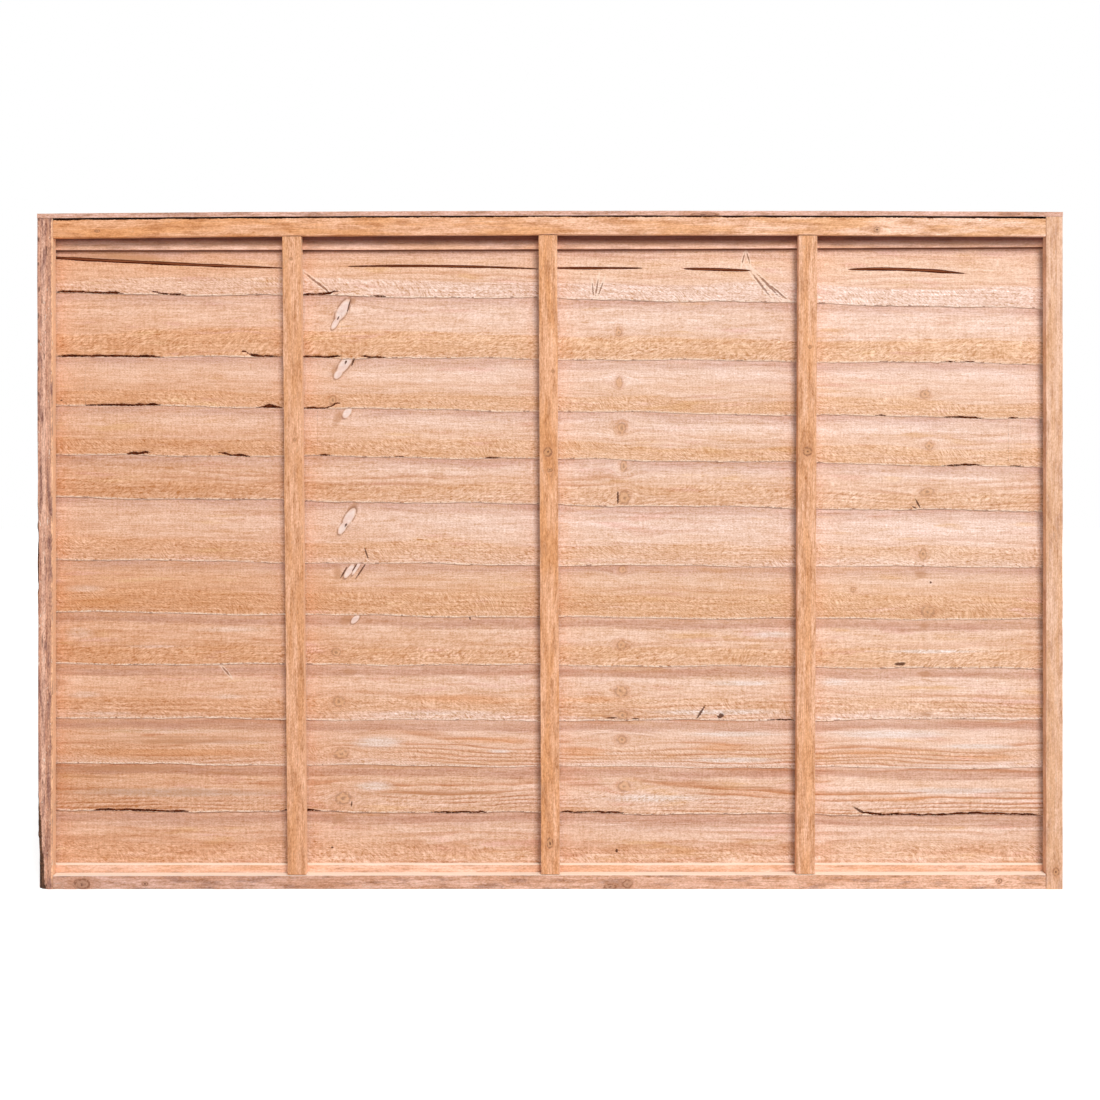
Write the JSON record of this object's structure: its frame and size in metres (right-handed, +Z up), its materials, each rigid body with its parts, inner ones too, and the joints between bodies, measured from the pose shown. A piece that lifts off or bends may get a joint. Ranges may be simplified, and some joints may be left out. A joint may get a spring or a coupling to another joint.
{
  "type": "lap fence panel",
  "caption": "Framed timber fence panel of thin lapped horizontal slats with wavy edges, held by upright battens, with laths and a bowed capping strip.",
  "frame": {"origin": "on the ground, under the middle of the panel's length and thickness", "axes": "+Z up, +X along the panel, -Y towards the battened front face"},
  "size_m": [1.828, 0.0456, 1.2097],
  "materials": {
    "cap": "weathered rough-sawn",
    "front_frame": "rough-sawn, dip treated",
    "battens": "rough-sawn, dip treated",
    "laths": "rough-sawn, dip treated",
    "slats": "rough-sawn, dip treated",
    "back_frame": "rough-sawn, dip treated",
    "nails": "dull galvanised"
  },
  "bodies": {
    "root": {"back_batten_centre": "back_frame", "back_batten_left": "back_frame", "back_batten_right": "back_frame", "back_bottom_rail": "back_frame", "back_stile_left": "back_frame", "back_stile_right": "back_frame", "back_top_rail": "back_frame", "bottom_lath": "laths", "cap_nails": "nails", "cap_strip": "cap", "frame_nails": "nails", "front_batten_centre": "battens", "front_batten_left": "battens", "front_batten_right": "battens", "front_bottom_rail": "front_frame", "front_stile_left": "front_frame", "front_stile_right": "front_frame", "front_top_rail": "front_frame", "slat_01": "slats", "slat_02": "slats", "slat_03": "slats", "slat_04": "slats", "slat_05": "slats", "slat_06": "slats", "slat_07": "slats", "slat_08": "slats", "slat_09": "slats", "slat_10": "slats", "slat_11": "slats", "slat_12": "slats", "top_lath": "laths"}
  },
  "joints": []
}
